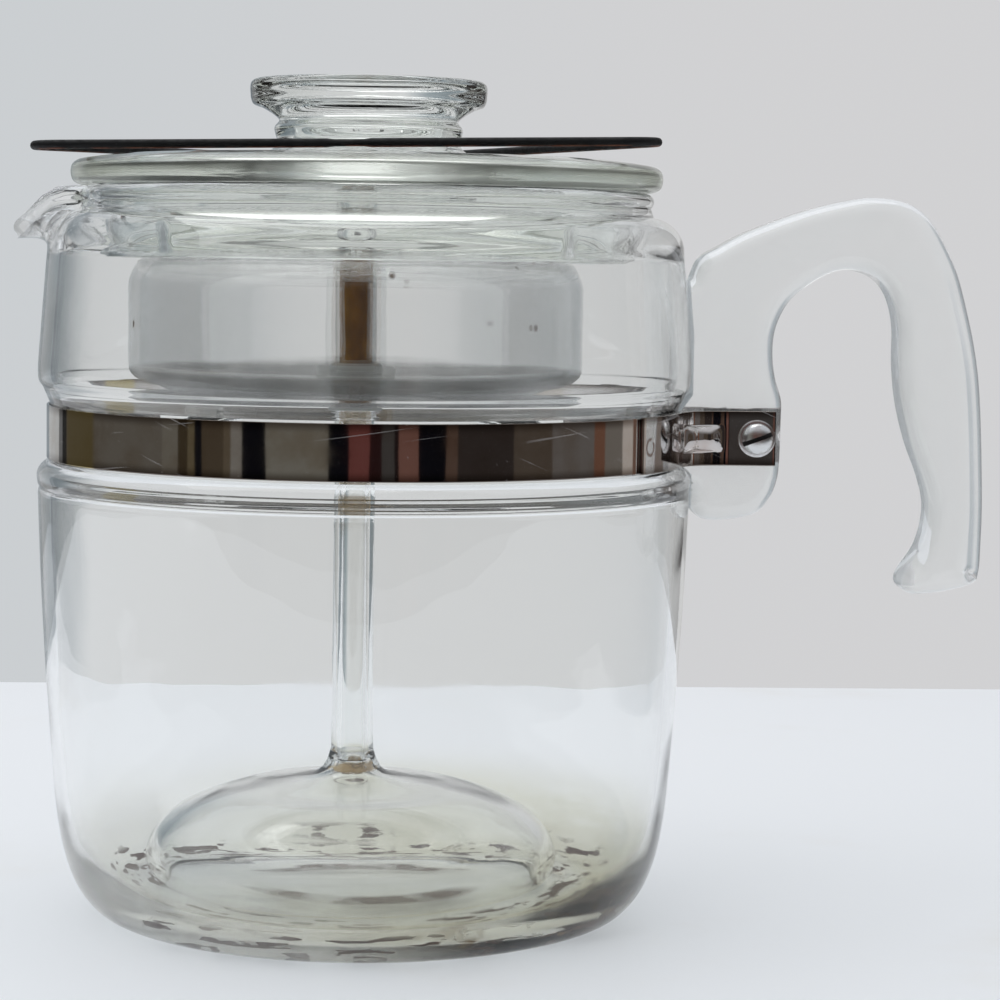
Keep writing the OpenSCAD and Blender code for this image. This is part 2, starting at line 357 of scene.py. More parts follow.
def lay_along_screw(piece):
    """Turns a piece drawn about Z so that it lies along the clamp screw's axis."""
    piece.data.transform(TO_SCREW @ Matrix.Rotation(math.radians(-90), 4, "X"))


def mirror(piece):
    """Moves a piece to the other side of the handle."""
    piece.data.transform(Matrix.Diagonal((1, -1, 1, 1)))
    piece.data.flip_normals()


def show(piece, body, node, material):
    """Puts a finished piece in its CAD node's place."""
    piece.data.materials.clear()
    piece.data.materials.append(material)
    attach(piece, body)
    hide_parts(node)


# Material building

class Graph:
    """Short calls for the nodes of one material, or of the world."""

    def __init__(self, owner):
        """owner is the world, or the name of a new material."""
        self.material = bpy.data.materials.new(owner) if isinstance(owner, str) else owner
        self.material.use_nodes = True
        self.tree = self.material.node_tree
        self.tree.nodes.clear()
        self.place = self.add("TexCoord").outputs["Object"]

    def add(self, kind, inputs=None, **settings):
        made = self.tree.nodes.new("ShaderNode" + kind)
        for key, value in settings.items():
            setattr(made, key, value)
        for key, value in (inputs or {}).items():
            self.feed(made.inputs[key], value)
        return made

    def feed(self, socket, value):
        if isinstance(value, bpy.types.NodeSocket):
            self.tree.links.new(value, socket)
        else:
            socket.default_value = value

    def math(self, operation, *values):
        return self.add("Math", dict(enumerate(values)), operation=operation).outputs[0]

    def times(self, first, *others):
        """Product of two or more values."""
        for value in others:
            first = self.math("MULTIPLY", first, value)
        return first

    def largest(self, first, *others):
        for value in others:
            first = self.math("MAXIMUM", first, value)
        return first

    def stretched(self, scale):
        return self.add("Mapping", {"Vector": self.place, "Scale": scale}).outputs[0]

    def noise(self, scale, detail=3.0, roughness=0.55, vector=None, distortion=0.0):
        inputs = {"Vector": vector or self.place, "Scale": scale, "Detail": detail,
                  "Roughness": roughness, "Distortion": distortion}
        return self.add("TexNoise", inputs).outputs[0]

    def levels(self, value, low, high, to_low=0.0, to_high=1.0):
        inputs = {"Value": value, "From Min": low, "From Max": high, "To Min": to_low, "To Max": to_high}
        return self.add("MapRange", inputs, interpolation_type="SMOOTHSTEP").outputs[0]

    def colours(self, value, stops, interpolation="LINEAR"):
        ramp = self.add("ValToRGB", {"Fac": value})
        ramp.color_ramp.interpolation = interpolation
        elements = ramp.color_ramp.elements
        while len(elements) < len(stops):
            elements.new(0.5)
        for element, (position, colour) in zip(elements, stops):
            element.position = position
            element.color = (*colour, 1)
        return ramp.outputs[0]

    def blend(self, factor, first, second):
        mix = self.add("Mix", data_type="RGBA")
        self.feed(mix.inputs["Factor"], factor)
        for socket, value in zip((mix.inputs["A"], mix.inputs["B"]), (first, second)):
            self.feed_colour(socket, value)
        return mix.outputs["Result"]

    def feed_colour(self, socket, value):
        self.feed(socket, (*value, 1) if isinstance(value, tuple) and len(value) == 3 else value)

    def axes(self):
        split = self.add("SeparateXYZ", {"Vector": self.place})
        return split.outputs

    def radius(self, axis_x=0.0):
        """Distance from an upright axis, in metres. axis_x is in millimetres."""
        moved = self.add("VectorMath", {0: self.place, 1: (axis_x * MM, 0, 0)}, operation="SUBTRACT")
        flat = self.add("VectorMath", {0: moved.outputs[0], 1: (1, 1, 0)}, operation="MULTIPLY")
        return self.add("VectorMath", {0: flat.outputs[0]}, operation="LENGTH").outputs["Value"]

    def wrapped(self, axis_x=0.0, stretch=3.0):
        """Place as length round an upright axis (shortened by stretch), distance from it, and height."""
        x, y, z = self.axes()
        moved = self.math("SUBTRACT", x, axis_x * MM)
        length = self.times(self.math("ARCTAN2", y, moved), 0.055 / stretch)
        return self.add("CombineXYZ", {0: length, 1: self.radius(axis_x), 2: z}).outputs[0]

    def between(self, value, low, high, soft):
        """1 between two limits in metres, fading outside over soft."""
        rise = self.levels(value, low - soft, low + soft)
        fall = self.levels(value, high - soft, high + soft, 1.0, 0.0)
        return self.times(rise, fall)

    def bump(self, height, strength, distance):
        inputs = {"Height": height, "Strength": strength, "Distance": distance}
        return self.add("Bump", inputs).outputs[0]

    def mix(self, factor, first, second):
        return self.add("MixShader", {0: factor, 1: first, 2: second}).outputs[0]

    def surface(self, colour, roughness, normal=None, **fixed):
        shader = self.add("BsdfPrincipled")
        self.feed_colour(shader.inputs["Base Color"], colour)
        self.feed(shader.inputs["Roughness"], roughness)
        if normal:
            self.feed(shader.inputs["Normal"], normal)
        for key, value in fixed.items():
            shader.inputs[key.replace("_", " ")].default_value = value
        return shader.outputs[0]

    def done(self, shader, volume=None):
        out = self.add("OutputMaterial", {"Surface": shader})
        if volume:
            self.feed(out.inputs["Volume"], volume)
        return self.material


GLASS_IOR = 1.47


def clear_glass(graph, tint, roughness, normal, passing):
    """Clear glass. Lamps and soft light pass straight through it, tinted by passing at each face."""
    glass = graph.surface(tint, roughness, normal, IOR=GLASS_IOR, Transmission_Weight=1.0)
    rays = graph.add("LightPath").outputs
    lit = graph.largest(rays["Is Shadow Ray"], rays["Is Diffuse Ray"])
    open_glass = graph.add("BsdfTransparent", {"Color": (*passing, 1)}).outputs[0]
    return graph.mix(lit, glass, open_glass)


def thinned(graph, share, glass):
    """Glass that bends only part of the light, as thin glass does. share is the part that goes straight."""
    straight = graph.add("BsdfTransparent", {"Color": (0.99, 0.99, 0.99, 1)}).outputs[0]
    return graph.mix(share, glass, straight)


def wavy_normal(graph, strength=0.06):
    """The slow waviness of pressed and blown glass, with fine scratches."""
    waves = graph.noise(38.0, 1.0)
    scratch = graph.noise(900.0, 2.0, vector=graph.stretched((1.0, 1.0, 0.08)))
    height = graph.math("ADD", waves, graph.times(scratch, 0.01))
    return graph.bump(height, strength, 0.004)


def smudges(graph, low=0.0, high=0.14):
    """Roughness: clean glass with greasy and dusty patches."""
    patches = graph.levels(graph.noise(22.0, 5.0, 0.65), 0.52, 0.78)
    return graph.math("MULTIPLY_ADD", patches, high - low, low)


def specks(graph, scale, amount, seed=0.0):
    """1 on a few small flecks."""
    moved = graph.add("Mapping", {"Vector": graph.place, "Location": (seed, seed, seed)})
    cells = graph.add("TexVoronoi", {"Vector": moved.outputs[0], "Scale": scale})
    near = graph.levels(cells.outputs["Distance"], 0.1, 0.22, 1.0, 0.0)
    chosen = graph.add("SeparateColor", {"Color": cells.outputs["Color"]}).outputs[0]
    return graph.times(near, graph.levels(chosen, 1 - amount, 1 - amount * 0.9))


def pot_glass_material():
    """Blown glass: olive film in the base's corner, mostly on +X, and brown dashes round the floor."""
    g = Graph("pot glass")
    x, y, z = g.axes()
    r = g.radius()
    low_down = g.levels(z, 0.0, 0.031, 1.0, 0.0)
    streaks = g.noise(55.0, 6.0, 0.7, vector=g.wrapped(0.0, 3.0))
    lean = g.levels(x, -0.06, 0.02, 0.32, 0.82)
    film = g.times(low_down, lean, g.levels(streaks, 0.22, 0.60), g.levels(r, 0.050, 0.060))
    tint = g.colours(film, [(0.0, (0.985, 0.990, 0.987)), (0.3, (0.83, 0.82, 0.71)),
                            (1.0, (0.60, 0.56, 0.40))])
    rough = g.math("MULTIPLY_ADD", film, 0.14, smudges(g, 0.0, 0.10))
    shell = clear_glass(g, tint, rough, wavy_normal(g), (0.96, 0.965, 0.965))
    in_lip = g.levels(x, -0.079, -0.069, 0.62, 0.0)
    in_corner = g.times(g.levels(z, 0.012, 0.024, 0.25, 0.0), g.levels(x, -0.03, 0.03, 1.0, 0.0))
    shell = thinned(g, g.largest(in_lip, in_corner), shell)
    inside = g.between(z, 0.0035, 0.011, 0.001)
    dashes = g.noise(330.0, 2.0, 0.5, vector=g.wrapped(0.0, 3.6))
    patches = g.noise(60.0, 2.0)
    ring = g.between(r, 0.0475, 0.0615, 0.0015)
    spots = g.times(g.levels(dashes, 0.545, 0.580), g.levels(patches, 0.34, 0.46), ring, inside)
    sides = g.levels(g.math("ABSOLUTE", y), 0.011, 0.021)
    loop = g.times(g.between(r, 0.0245, 0.0310, 0.0016), sides,
                   g.levels(g.noise(70.0, 4.0), 0.36, 0.58, 0.25, 0.9), inside)
    scum = g.times(g.levels(g.noise(85.0, 5.0, 0.7), 0.56, 0.66), g.levels(x, 0.0, 0.03),
                   inside, g.levels(r, 0.046, 0.052, 0.0, 0.6))
    tone = g.blend(g.noise(150.0), (0.022, 0.008, 0.010), (0.10, 0.045, 0.022))
    tone = g.blend(scum, tone, (0.30, 0.22, 0.09))
    brown = g.surface(tone, 0.55)
    return g.done(g.mix(g.largest(spots, loop, scum), shell, brown))


def lid_glass_material():
    """Thick pressed glass, greenish and soft at its edge, with dust on its top."""
    g = Graph("lid glass")
    z = g.axes()["Z"]
    r = g.radius()
    rim = g.times(g.levels(r, 0.0610, 0.0655), g.levels(z, 0.1690, 0.1700))
    tint = g.blend(g.noise(14.0), (0.95, 0.97, 0.945), (0.975, 0.985, 0.975))
    tint = g.blend(rim, tint, (0.90, 0.93, 0.87))
    rough = g.math("MULTIPLY_ADD", rim, 0.16, smudges(g, 0.0, 0.08))
    shell = clear_glass(g, tint, rough, wavy_normal(g, 0.05), (0.955, 0.965, 0.955))
    dust = g.times(specks(g, 420.0, 0.05), g.between(z, 0.1765, 0.1830, 0.0008))
    shell = g.mix(g.times(dust, 0.8), shell, g.surface((0.20, 0.17, 0.13), 0.8))
    bands = g.noise(90.0, 4.0, 0.6, vector=g.wrapped(0.0, 6.0))
    milk = g.surface(g.colours(bands, [(0.35, (0.50, 0.53, 0.45)), (0.65, (0.66, 0.69, 0.60))]), 0.5)
    cloudy = g.times(rim, g.levels(bands, 0.40, 0.62, 0.10, 0.34))
    return g.done(g.mix(cloudy, shell, milk))


def pump_glass_material():
    """Glass tube with coffee dried inside its bore, dark above and ragged below the basket."""
    g = Graph("pump glass")
    z = g.axes()["Z"]
    r = g.radius(PUMP_X)
    shell = clear_glass(g, (0.97, 0.975, 0.965), smudges(g, 0.0, 0.12), wavy_normal(g), (0.95, 0.955, 0.95))
    in_bore = g.levels(r, 0.00280, 0.00295, 1.0, 0.0)
    in_flare = g.levels(r, 0.0045, 0.0050, 1.0, 0.0)
    streaky = g.noise(70.0, 4.0, 0.7, vector=g.stretched((1.0, 1.0, 0.25)))
    ragged = g.math("MULTIPLY_ADD", streaky, 0.03, z)
    upper = g.between(z, 0.1265, 0.1592, 0.0006)
    lower = g.times(g.levels(ragged, 0.1035, 0.112), g.levels(z, 0.1262, 0.1268, 1.0, 0.0))
    stain = g.times(g.largest(upper, g.times(lower, 0.45)), in_bore)
    ring = g.times(g.between(z, 0.0325, 0.0352, 0.0007), g.levels(g.noise(120.0), 0.40, 0.50))
    ring = g.times(ring, 0.85, in_flare)
    fine = g.noise(260.0, 5.0, 0.65, vector=g.stretched((1.0, 1.0, 0.35)))
    dark = g.colours(fine, [(0.3, (0.055, 0.020, 0.0)), (0.52, (0.105, 0.042, 0.001)),
                            (0.72, (0.24, 0.12, 0.012))])
    pale = g.colours(fine, [(0.3, (0.22, 0.13, 0.045)), (0.6, (0.42, 0.30, 0.14))])
    coffee = g.blend(g.levels(z, 0.120, 0.127), pale, dark)
    deposit = g.surface(coffee, 0.65, g.bump(fine, 0.4, 0.0004), Specular_IOR_Level=0.0)
    return g.done(g.mix(g.largest(stain, ring), shell, deposit))


def basket_glass_material():
    """Clear pressed glass with a ground hub, a grey film on the floor and a few dried flecks."""
    g = Graph("basket glass")
    z = g.axes()["Z"]
    r = g.radius(PUMP_X)
    hub = g.times(g.levels(r, 0.0068, 0.0078, 1.0, 0.0), g.levels(z, 0.1165, 0.1175))
    film = g.times(g.levels(z, 0.1268, 0.1285, 1.0, 0.0), g.levels(r, 0.0072, 0.0078),
                   g.levels(g.noise(80.0, 4.0, 0.6), 0.3, 0.7, 0.32, 0.55))
    rough = g.largest(g.times(hub, 0.42), smudges(g, 0.0, 0.12))
    shell = clear_glass(g, (0.995, 0.998, 0.996), rough, wavy_normal(g, 0.08), (0.955, 0.965, 0.965))
    shell = thinned(g, 0.50, shell)
    shell = g.mix(g.times(hub, 0.60), shell, g.surface((0.30, 0.305, 0.295), 0.5))
    shell = g.mix(film, shell, g.surface((0.085, 0.088, 0.085), 0.5, Specular_IOR_Level=0.2))
    fleck = specks(g, 190.0, 0.030, 3.0)
    return g.done(g.mix(fleck, shell, g.surface((0.09, 0.05, 0.03), 0.6)))


def handle_glass_material():
    """Thick pressed glass, slightly milky from fine scratches."""
    g = Graph("handle glass")
    tint = g.blend(g.noise(16.0), (0.975, 0.98, 0.975), (0.99, 0.99, 0.99))
    shell = clear_glass(g, tint, smudges(g, 0.08, 0.18), wavy_normal(g, 0.05), (0.97, 0.97, 0.97))
    milk = g.surface((0.90, 0.90, 0.90), 0.5)
    haze = g.levels(g.noise(26.0, 5.0, 0.6), 0.3, 0.8, 0.14, 0.26)
    return g.done(g.mix(haze, shell, milk))


def hair_scratches(graph, angle, seed):
    """1 on a few long hairlines that run at this angle to the level."""
    turned = graph.add("Mapping", {"Vector": graph.place, "Rotation": (0, math.radians(angle), 0),
                                   "Location": (seed, seed, seed)})
    drawn = graph.add("Mapping", {"Vector": turned.outputs[0], "Scale": (0.02, 0.02, 1.0)})
    lines = graph.noise(1500.0, 0.0, 0.5, vector=drawn.outputs[0])
    return graph.times(graph.levels(lines, 0.74, 0.82), graph.levels(graph.noise(70.0, 2.0), 0.5, 0.6))


def polished_steel(name, colour, stain, base_rough, low, high):
    """Polished stainless steel with hairlines, a cloudy brown stain, and painted shade darkening it along
    its top and bottom edges.
    """
    g = Graph(name)
    z = g.axes()["Z"]
    cloud = g.noise(55.0, 5.0, 0.6)
    tone = g.blend(g.levels(cloud, 0.42, 0.72), colour, stain)
    # Painted shade: the steel is darkened in a band along its top and bottom edges.
    middle = g.between(z, low * MM + 0.0012, high * MM - 0.0012, 0.0012)
    tone = g.blend(middle, (0.20, 0.17, 0.15), tone)
    rough = g.math("MULTIPLY_ADD", g.levels(cloud, 0.5, 0.8), 0.08, base_rough)
    height = g.math("ADD", g.noise(60.0, 1.0), g.times(g.noise(260.0, 1.0), 0.06))
    steel = g.surface(tone, rough, g.bump(height, 0.09, 0.0006), Metallic=1.0)
    marks = g.largest(hair_scratches(g, 8.0, 1.0), hair_scratches(g, -24.0, 4.0),
                      g.times(specks(g, 900.0, 0.05), 0.6))
    return g, g.mix(g.times(marks, 0.20), steel, g.surface((0.62, 0.60, 0.60), 0.5))


def strap_material():
    """The strap: yellowed towards -X, with a line of rust beside the front bracket."""
    g, steel = polished_steel("strap steel", (0.60, 0.58, 0.56), (0.46, 0.40, 0.34), 0.05,
                              STRAP_LOW.z, STRAP_HIGH.z)
    x, y, _ = g.axes()
    yellow = g.times(g.between(x, -0.0665, -0.0595, 0.0006), 0.75)
    steel = g.mix(yellow, steel, g.surface((0.44, 0.35, 0.12), 0.06, Metallic=1.0))
    grain = g.noise(380.0, 5.0, 0.7)
    beside = g.between(x, 0.0588, 0.0596, 0.0002)
    rust = g.times(beside, g.levels(y, -0.02, -0.03), g.levels(grain, 0.30, 0.42))
    return g.done(g.mix(rust, steel, g.surface((0.12, 0.055, 0.03), 0.8)))


def bracket_material():
    """The pressed brackets, with the brown ring of a spot weld on the front one."""
    g, steel = polished_steel("bracket steel", (0.66, 0.64, 0.63), (0.54, 0.47, 0.44), 0.06,
                              EAR_LOW.z, EAR_HIGH.z)
    bearing = math.radians(-32.5)
    weld = (BRACKET_R * MM * math.cos(bearing), BRACKET_R * MM * math.sin(bearing), (CLAMP_Z - 0.4) * MM)
    off = g.add("VectorMath", {0: g.place, 1: weld}, operation="SUBTRACT").outputs[0]
    away = g.add("VectorMath", {0: off}, operation="LENGTH").outputs["Value"]
    ring = g.times(g.between(away, 0.0014, 0.0021, 0.0003), g.levels(g.noise(300.0), 0.38, 0.46))
    return g.done(g.mix(g.times(ring, 0.85), steel, g.surface((0.11, 0.055, 0.035), 0.6)))


def fastener_material():
    """Plated steel with brown rust in its corners, and the screw's slot coloured near-black."""
    g = Graph("plated steel")
    x, y, z = g.axes()
    along = g.times(g.math("SUBTRACT", x, SCREW_X * MM), math.sin(SLOT_SLOPE))
    across = g.times(g.math("SUBTRACT", z, CLAMP_Z * MM), math.cos(SLOT_SLOPE))
    # The screw's slot recess is coloured near-black.
    in_slot = g.between(g.math("SUBTRACT", across, along), -0.00056, 0.00056, 0.00004)
    in_slot = g.times(in_slot, g.between(y, (SCREW_LOW.y + 0.35) * MM, (WASHER_LOW.y - 0.3) * MM, 0.0001))
    rust_map = g.noise(380.0, 5.0, 0.7)
    edge = g.add("NewGeometry").outputs["Pointiness"]
    hollow = g.levels(edge, 0.44, 0.5, 1.0, 0.0)
    rust = g.times(g.levels(rust_map, 0.5, 0.62), g.largest(hollow, 0.18))
    steel = g.surface(g.blend(g.noise(300.0), (0.62, 0.63, 0.64), (0.80, 0.80, 0.80)), 0.24, Metallic=1.0)
    tone = g.blend(rust_map, (0.10, 0.035, 0.012), (0.34, 0.13, 0.04))
    brown = g.surface(tone, 0.85, g.bump(rust_map, 0.6, 0.0003))
    worn = g.mix(rust, steel, brown)
    return g.done(g.mix(in_slot, worn, g.surface((0.012, 0.010, 0.010), 0.8)))


def cushion_material():
    """Black fibre gasket, crumbling and dull."""
    g = Graph("black fibre")
    crumbs = g.noise(900.0, 6.0, 0.7)
    tone = g.colours(crumbs, [(0.3, (0.006, 0.005, 0.005)), (0.7, (0.035, 0.028, 0.022))])
    return g.done(g.surface(tone, 0.92, g.bump(crumbs, 1.0, 0.0006)))


def wire_material():
    """Blackened wire with pale dust and rust along its underside."""
    g = Graph("blackened wire")
    grain = g.noise(520.0, 6.0, 0.7)
    normal = g.add("NewGeometry").outputs["Normal"]
    facing = g.add("SeparateXYZ", {"Vector": normal}).outputs["Z"]
    below = g.levels(facing, -0.95, -0.62, 1.0, 0.0)
    rust = g.times(below, g.levels(g.noise(160.0, 4.0), 0.36, 0.6))
    tone = g.blend(rust, (0.003, 0.003, 0.0035), (0.13, 0.035, 0.014))
    dust = g.times(g.levels(grain, 0.66, 0.76), 0.55)
    tone = g.blend(dust, tone, (0.15, 0.15, 0.155))
    rough = g.levels(grain, 0.3, 0.8, 0.42, 0.8)
    return g.done(g.surface(tone, rough, g.bump(grain, 0.5, 0.0004), Specular_IOR_Level=0.25))


# Pot

LIP_HALF_ANGLE = math.radians(14.5)
LIP_LOW = 155.0
LIP_PATH = [(64.8, RIM_Z - 1.9), (67.8, RIM_Z - 1.9), (71.4, RIM_Z - 2.3), (74.6, RIM_Z - 4.4),
            (77.4, RIM_Z - 7.4), (80.3, RIM_Z - 9.6)]
LIP_CURVE = smooth(LIP_PATH, 8)


def lip_point(share):
    """Where the rim bead's centre lies at this share of the way out to the lip's tip."""
    place = share * (len(LIP_CURVE) - 1)
    i = min(int(place), len(LIP_CURVE) - 2)
    return Vector(LIP_CURVE[i]).lerp(Vector(LIP_CURVE[i + 1]), place - i)


def pull_lip(v):
    """Folds the rim outwards on -X into the pouring lip."""
    angle = math.atan2(v.y, -v.x)
    if abs(angle) > LIP_HALF_ANGLE or v.z < LIP_LOW:
        return v
    along = (0.5 + 0.5 * math.cos(math.pi * angle / LIP_HALF_ANGLE)) ** 0.8
    shift = lip_point(along) - lip_point(0)
    share = ease(v.z, LIP_LOW, RIM_Z - 3.0) ** 1.25
    radius = math.hypot(v.x, v.y)
    narrow = 1 - 0.42 * along * share
    turned = math.pi - angle * narrow
    radius += shift.x * share
    return Vector((radius * math.cos(turned), radius * math.sin(turned), v.z + shift.y * share))


def make_pot():
    floor = 5.2
    outside = smooth([(0, 0.3), (26, 0.3), (45, 0.22), (52, 0.05), (58, 0.9), (63.2, 3.1), (68, 10),
                      (71.3, 22.6), (73.4, 46.4), (75.1, 74.8), (75.9, 96), (POT_R - 0.25, 99.6),
                      (POT_R - 0.5, 100.6), (POT_R - 0.1, 101.7), (POT_R, 104), (POT_R - 1.2, 105.9),
                      (GROOVE_R, 106.8)], 8)
    upper = smooth([(GROOVE_R, STRAP_HIGH.z + 0.5), (POT_R - 1.5, 123.4), (POT_R - 0.2, 126.6),
                    (POT_R - 0.9, 137.7), (POT_R - 2, 151.6)], 8)
    shoulder = arc((POT_R - 10.4, 156.2), 8, 0, 84, 16)
    bead = arc((64.7, RIM_Z - 1.9), 1.9, -50, 180, 16)
    inside = smooth([(62.8, 164.5), (64, 162.4), (68.2, 160), (70.7, 155.6), (71.4, 151), (72.5, 138),
                     (73.2, 128), (72.3, 123.4), (70.6, 118.6), (70.5, 108.4), (72.6, 104), (73.3, 99),
                     (72.2, 75), (70.5, 46), (68.4, 24), (65, 13.5), (59, 7.4), (50, floor),
                     (44, floor - 0.3), (30, floor), (0, floor)], 8)
    pot = lathe("pot_glass", outside + upper + shoulder + bead + inside, 240, pull_lip)
    show(pot, "pot", "pot_body", pot_glass_material())


# Handle and clamp

BEND_R = 10
BRACKET_R = STRAP_R + 0.05 + SHEET
BEND_X = math.sqrt((BRACKET_R + BEND_R) ** 2 - (EAR_Y + BEND_R) ** 2)
BEND_A = math.degrees(math.asin((EAR_Y + BEND_R) / (BRACKET_R + BEND_R)))
BRACKET_A = 35


def make_handle():
    """Pressed glass handle: grip, upper arm, pot-side block and lower pad, cut to fit the pot."""
    outline = smooth([(72, 145), (75.4, 150), (77.8, 155.2), (82.1, 157.9), (89.6, 161.8), (102.5, 166.6),
                      (112.4, 169.1), (118.5, 169.8), (125.5, 168.7), (131, 164.9), (135.7, 157.3),
                      (139.2, 148.3), (143.5, 128.8), (145.2, 102.3), (145.2, 88), (144.8, 82),
                      (143.1, 79.4), (136.9, 77.6), (130.6, 76.9), (127.8, 77.3), (126.5, 79.2),
                      (127.3, 82), (131.2, 88.4), (132.8, 96.5), (131.4, 103.6), (128, 112.6),
                      (125.6, 122), (124.6, 131), (124.4, 140), (122.5, 147), (118.6, 151.3), (112, 153),
                      (105.6, 150.9), (99, 145.9), (95.7, 139.8), (94.9, 134), (95.5, 127.9),
                      (97.1, 122.4), (97.2, 118), (97, 107), (96.4, 103), (95, 99.5), (91.5, 95.6),
                      (84, 94), (78.6, 94.4), (75.9, 97.5), (75.6, 102), (70, 105)], 6, True)
    handle = rounded_slab("handle_glass", outline, HANDLE_T, 3.6, 4.6)
    saddle = lathe("cutter", [(0, 80), (POT_R + 0.3, 80), (POT_R + 0.3, 104.8), (GROOVE_R + 0.3, 107.4),
                              (GROOVE_R + 0.3, 119.3), (POT_R + 0.3, 123.4), (POT_R + 0.3, 137),
                              (POT_R - 1.4, 156), (POT_R - 6, 164), (0, 164)], 240)
    drill = make_drill(HOLE_R + 0.4, -20, 20, 48)
    lay_along_screw(drill)
    cut(handle, [saddle, drill])
    show(handle, "pot", "handle", handle_glass_material())


def bracket_line(steps=16):
    """Plan of the bracket's outer face on -Y: along the strap, round the bend, out along the ear."""
    strap = arc((0, 0), BRACKET_R, -BRACKET_A, -BEND_A, steps)
    bend = arc((BEND_X, -EAR_Y - BEND_R), BEND_R, 180 - BEND_A, 90, steps)
    ear = [(BEND_X + (EAR_HIGH.x - BEND_X) * i / steps, -EAR_Y) for i in range(1, steps + 1)]
    return strap[:-1] + bend + ear


def make_bracket(name, node, side, material):
    line = bracket_line()
    middle = min(line, key=lambda p: (Vector(p) - Vector((BEND_X - 4.5, -EAR_Y - 3.5))).length)

    def boss(i, z):
        """The rib pressed across the bend, and the low raised pad it stands on."""
        away = (Vector(line[i]) - Vector(middle)).length
        rib = 1.5 * ease(-away, -6.5, -3.0) * math.sqrt(max(0, 1 - ((z - CLAMP_Z) / 3.0) ** 2))
        barrel = 0.35 * ease(-away, -7.0, -5.4)
        return rib + barrel

    piece = pressed_sheet(name, line, EAR_LOW.z, EAR_HIGH.z, SHEET, boss)
    drill = make_drill(HOLE_R, -30, 0, 32)
    lay_along_screw(drill)
    cut(piece, [drill], 40)
    if side > 0:
        mirror(piece)
    show(piece, "pot", node, material)


def make_strap():
    line = arc((0, 0), STRAP_R, -BEND_A, -360 + BEND_A, 220)
    line.reverse()
    strap = pressed_sheet("strap_steel", line, STRAP_LOW.z, STRAP_HIGH.z, 0.6, rows=4, edge=0.12)
    show(strap, "pot", "band_strap", strap_material())


def make_cushion(name, node, side, material):
    """A flat black pad whose edges crumble out past the ear."""
    across, up = 40, 34
    low_y, high_y = CUSHION_LOW.y, CUSHION_HIGH.y
    loops = []
    for j in range(up + 1):
        v = j / up
        z = CUSHION_LOW.z + (CUSHION_HIGH.z - CUSHION_LOW.z) * v
        ring = []
        for i in list(range(across + 1)) + list(range(across, -1, -1)):
            x = CUSHION_LOW.x + (CUSHION_HIGH.x - CUSHION_LOW.x) * i / across
            y = low_y if len(ring) <= across else high_y
            crumble = noise.noise((x * 1.7, side * 3.1, 0)) + 0.5 * noise.noise((x * 4.3, side, 5))
            reach = 1 - 0.055 * (1 + crumble)
            centre = (CUSHION_LOW.z + CUSHION_HIGH.z) / 2
            ring.append((x, y, centre + (z - centre) * reach))
        loops.append(ring)
    piece = loft(name, loops, sharp=50)
    if side > 0:
        mirror(piece)
    show(piece, "pot", node, material)


def make_washer(material):
    half = (WASHER_HIGH.x - WASHER_LOW.x) / 2
    y0, y1 = WASHER_LOW.y, WASHER_HIGH.y
    profile = [(HOLE_R, y0 + 0.1), (HOLE_R + 0.1, y0), (half - 0.25, y0), (half - 0.07, y0 + 0.07),
               (half, y0 + 0.25), (half, y1), (HOLE_R, y1)]
    washer = lathe("plain_washer", profile, 64, sharp=35)
    lay_along_screw(washer)
    show(washer, "pot", "clamp_washer", material)


def make_screw(material):
    """Slotted pan-head screw with a real helical thread on its tail."""
    head_r = (SCREW_HIGH.x - SCREW_LOW.x) / 2
    top = SCREW_LOW.y
    under = WASHER_LOW.y - 0.05
    tail = SCREW_HIGH.y
    thread_from = 0.0
    pitch, depth, shank = 0.8, 0.28, 1.75
    rim = [(head_r, under - 0.7), (head_r, under - 0.12), (head_r - 0.12, under)]
    dome = [(head_r * math.sin(a), under - 0.7 - (under - 0.7 - top) * math.cos(a) ** 0.8)
            for a in (math.pi / 2 * i / 12 for i in range(12))]
    profile = [(0, top)] + dome[1:] + rim + [(shank, under), (shank, thread_from)]
    turns = int((tail - thread_from) / 0.08)
    profile += [(shank, thread_from + (tail - thread_from) * i / turns) for i in range(1, turns + 1)]
    profile += [(shank - 0.35, tail), (0, tail)]

    def thread(v):
        if v.z <= thread_from or v.xy.length < shank - 0.01:
            return v
        turn = (v.z / pitch + math.atan2(v.y, v.x) / (2 * math.pi)) % 1
        fade = ease(v.z, thread_from, thread_from + 0.8) * ease(-v.z, -tail, -tail + 0.3)
        scale = 1 - depth * fade * abs(2 * turn - 1) / shank
        return Vector((v.x * scale, v.y * scale, v.z))

    screw = lathe("clamp_screw_steel", profile, 64, thread, sharp=40)
    lay_along_screw(screw)
    slot = block((-6, top - 1, -0.5), (6, top + 1.15, 0.5))
    slot.data.transform(TO_SCREW @ Matrix.Rotation(-SLOT_SLOPE, 4, "Y"))
    cut(screw, [slot], 35)
    show(screw, "screw", "clamp_screw", material)


def make_lock_washer(material):
    """Split ring, its two ends sprung apart along the screw."""
    outer = (LOCK_HIGH.x - LOCK_LOW.x) / 2
    steps, gap = 60, math.radians(14)
    loops = []
    for i in range(steps + 1):
        share = i / steps
        a = gap / 2 + (2 * math.pi - gap) * share
        lean = 0.12 * (share - 0.5)
        y0 = LOCK_LOW.y + 0.08 + lean
        y1 = LOCK_HIGH.y - 0.08 + lean
        corners = [(HOLE_R, y0), (outer, y0), (outer, y1), (HOLE_R, y1)]
        loops.append([(r * math.cos(a), r * math.sin(a), y) for r, y in corners])
    washer = loft("split_washer", loops, sharp=35)
    lay_along_screw(washer)
    show(washer, "pot", "lock_washer", material)


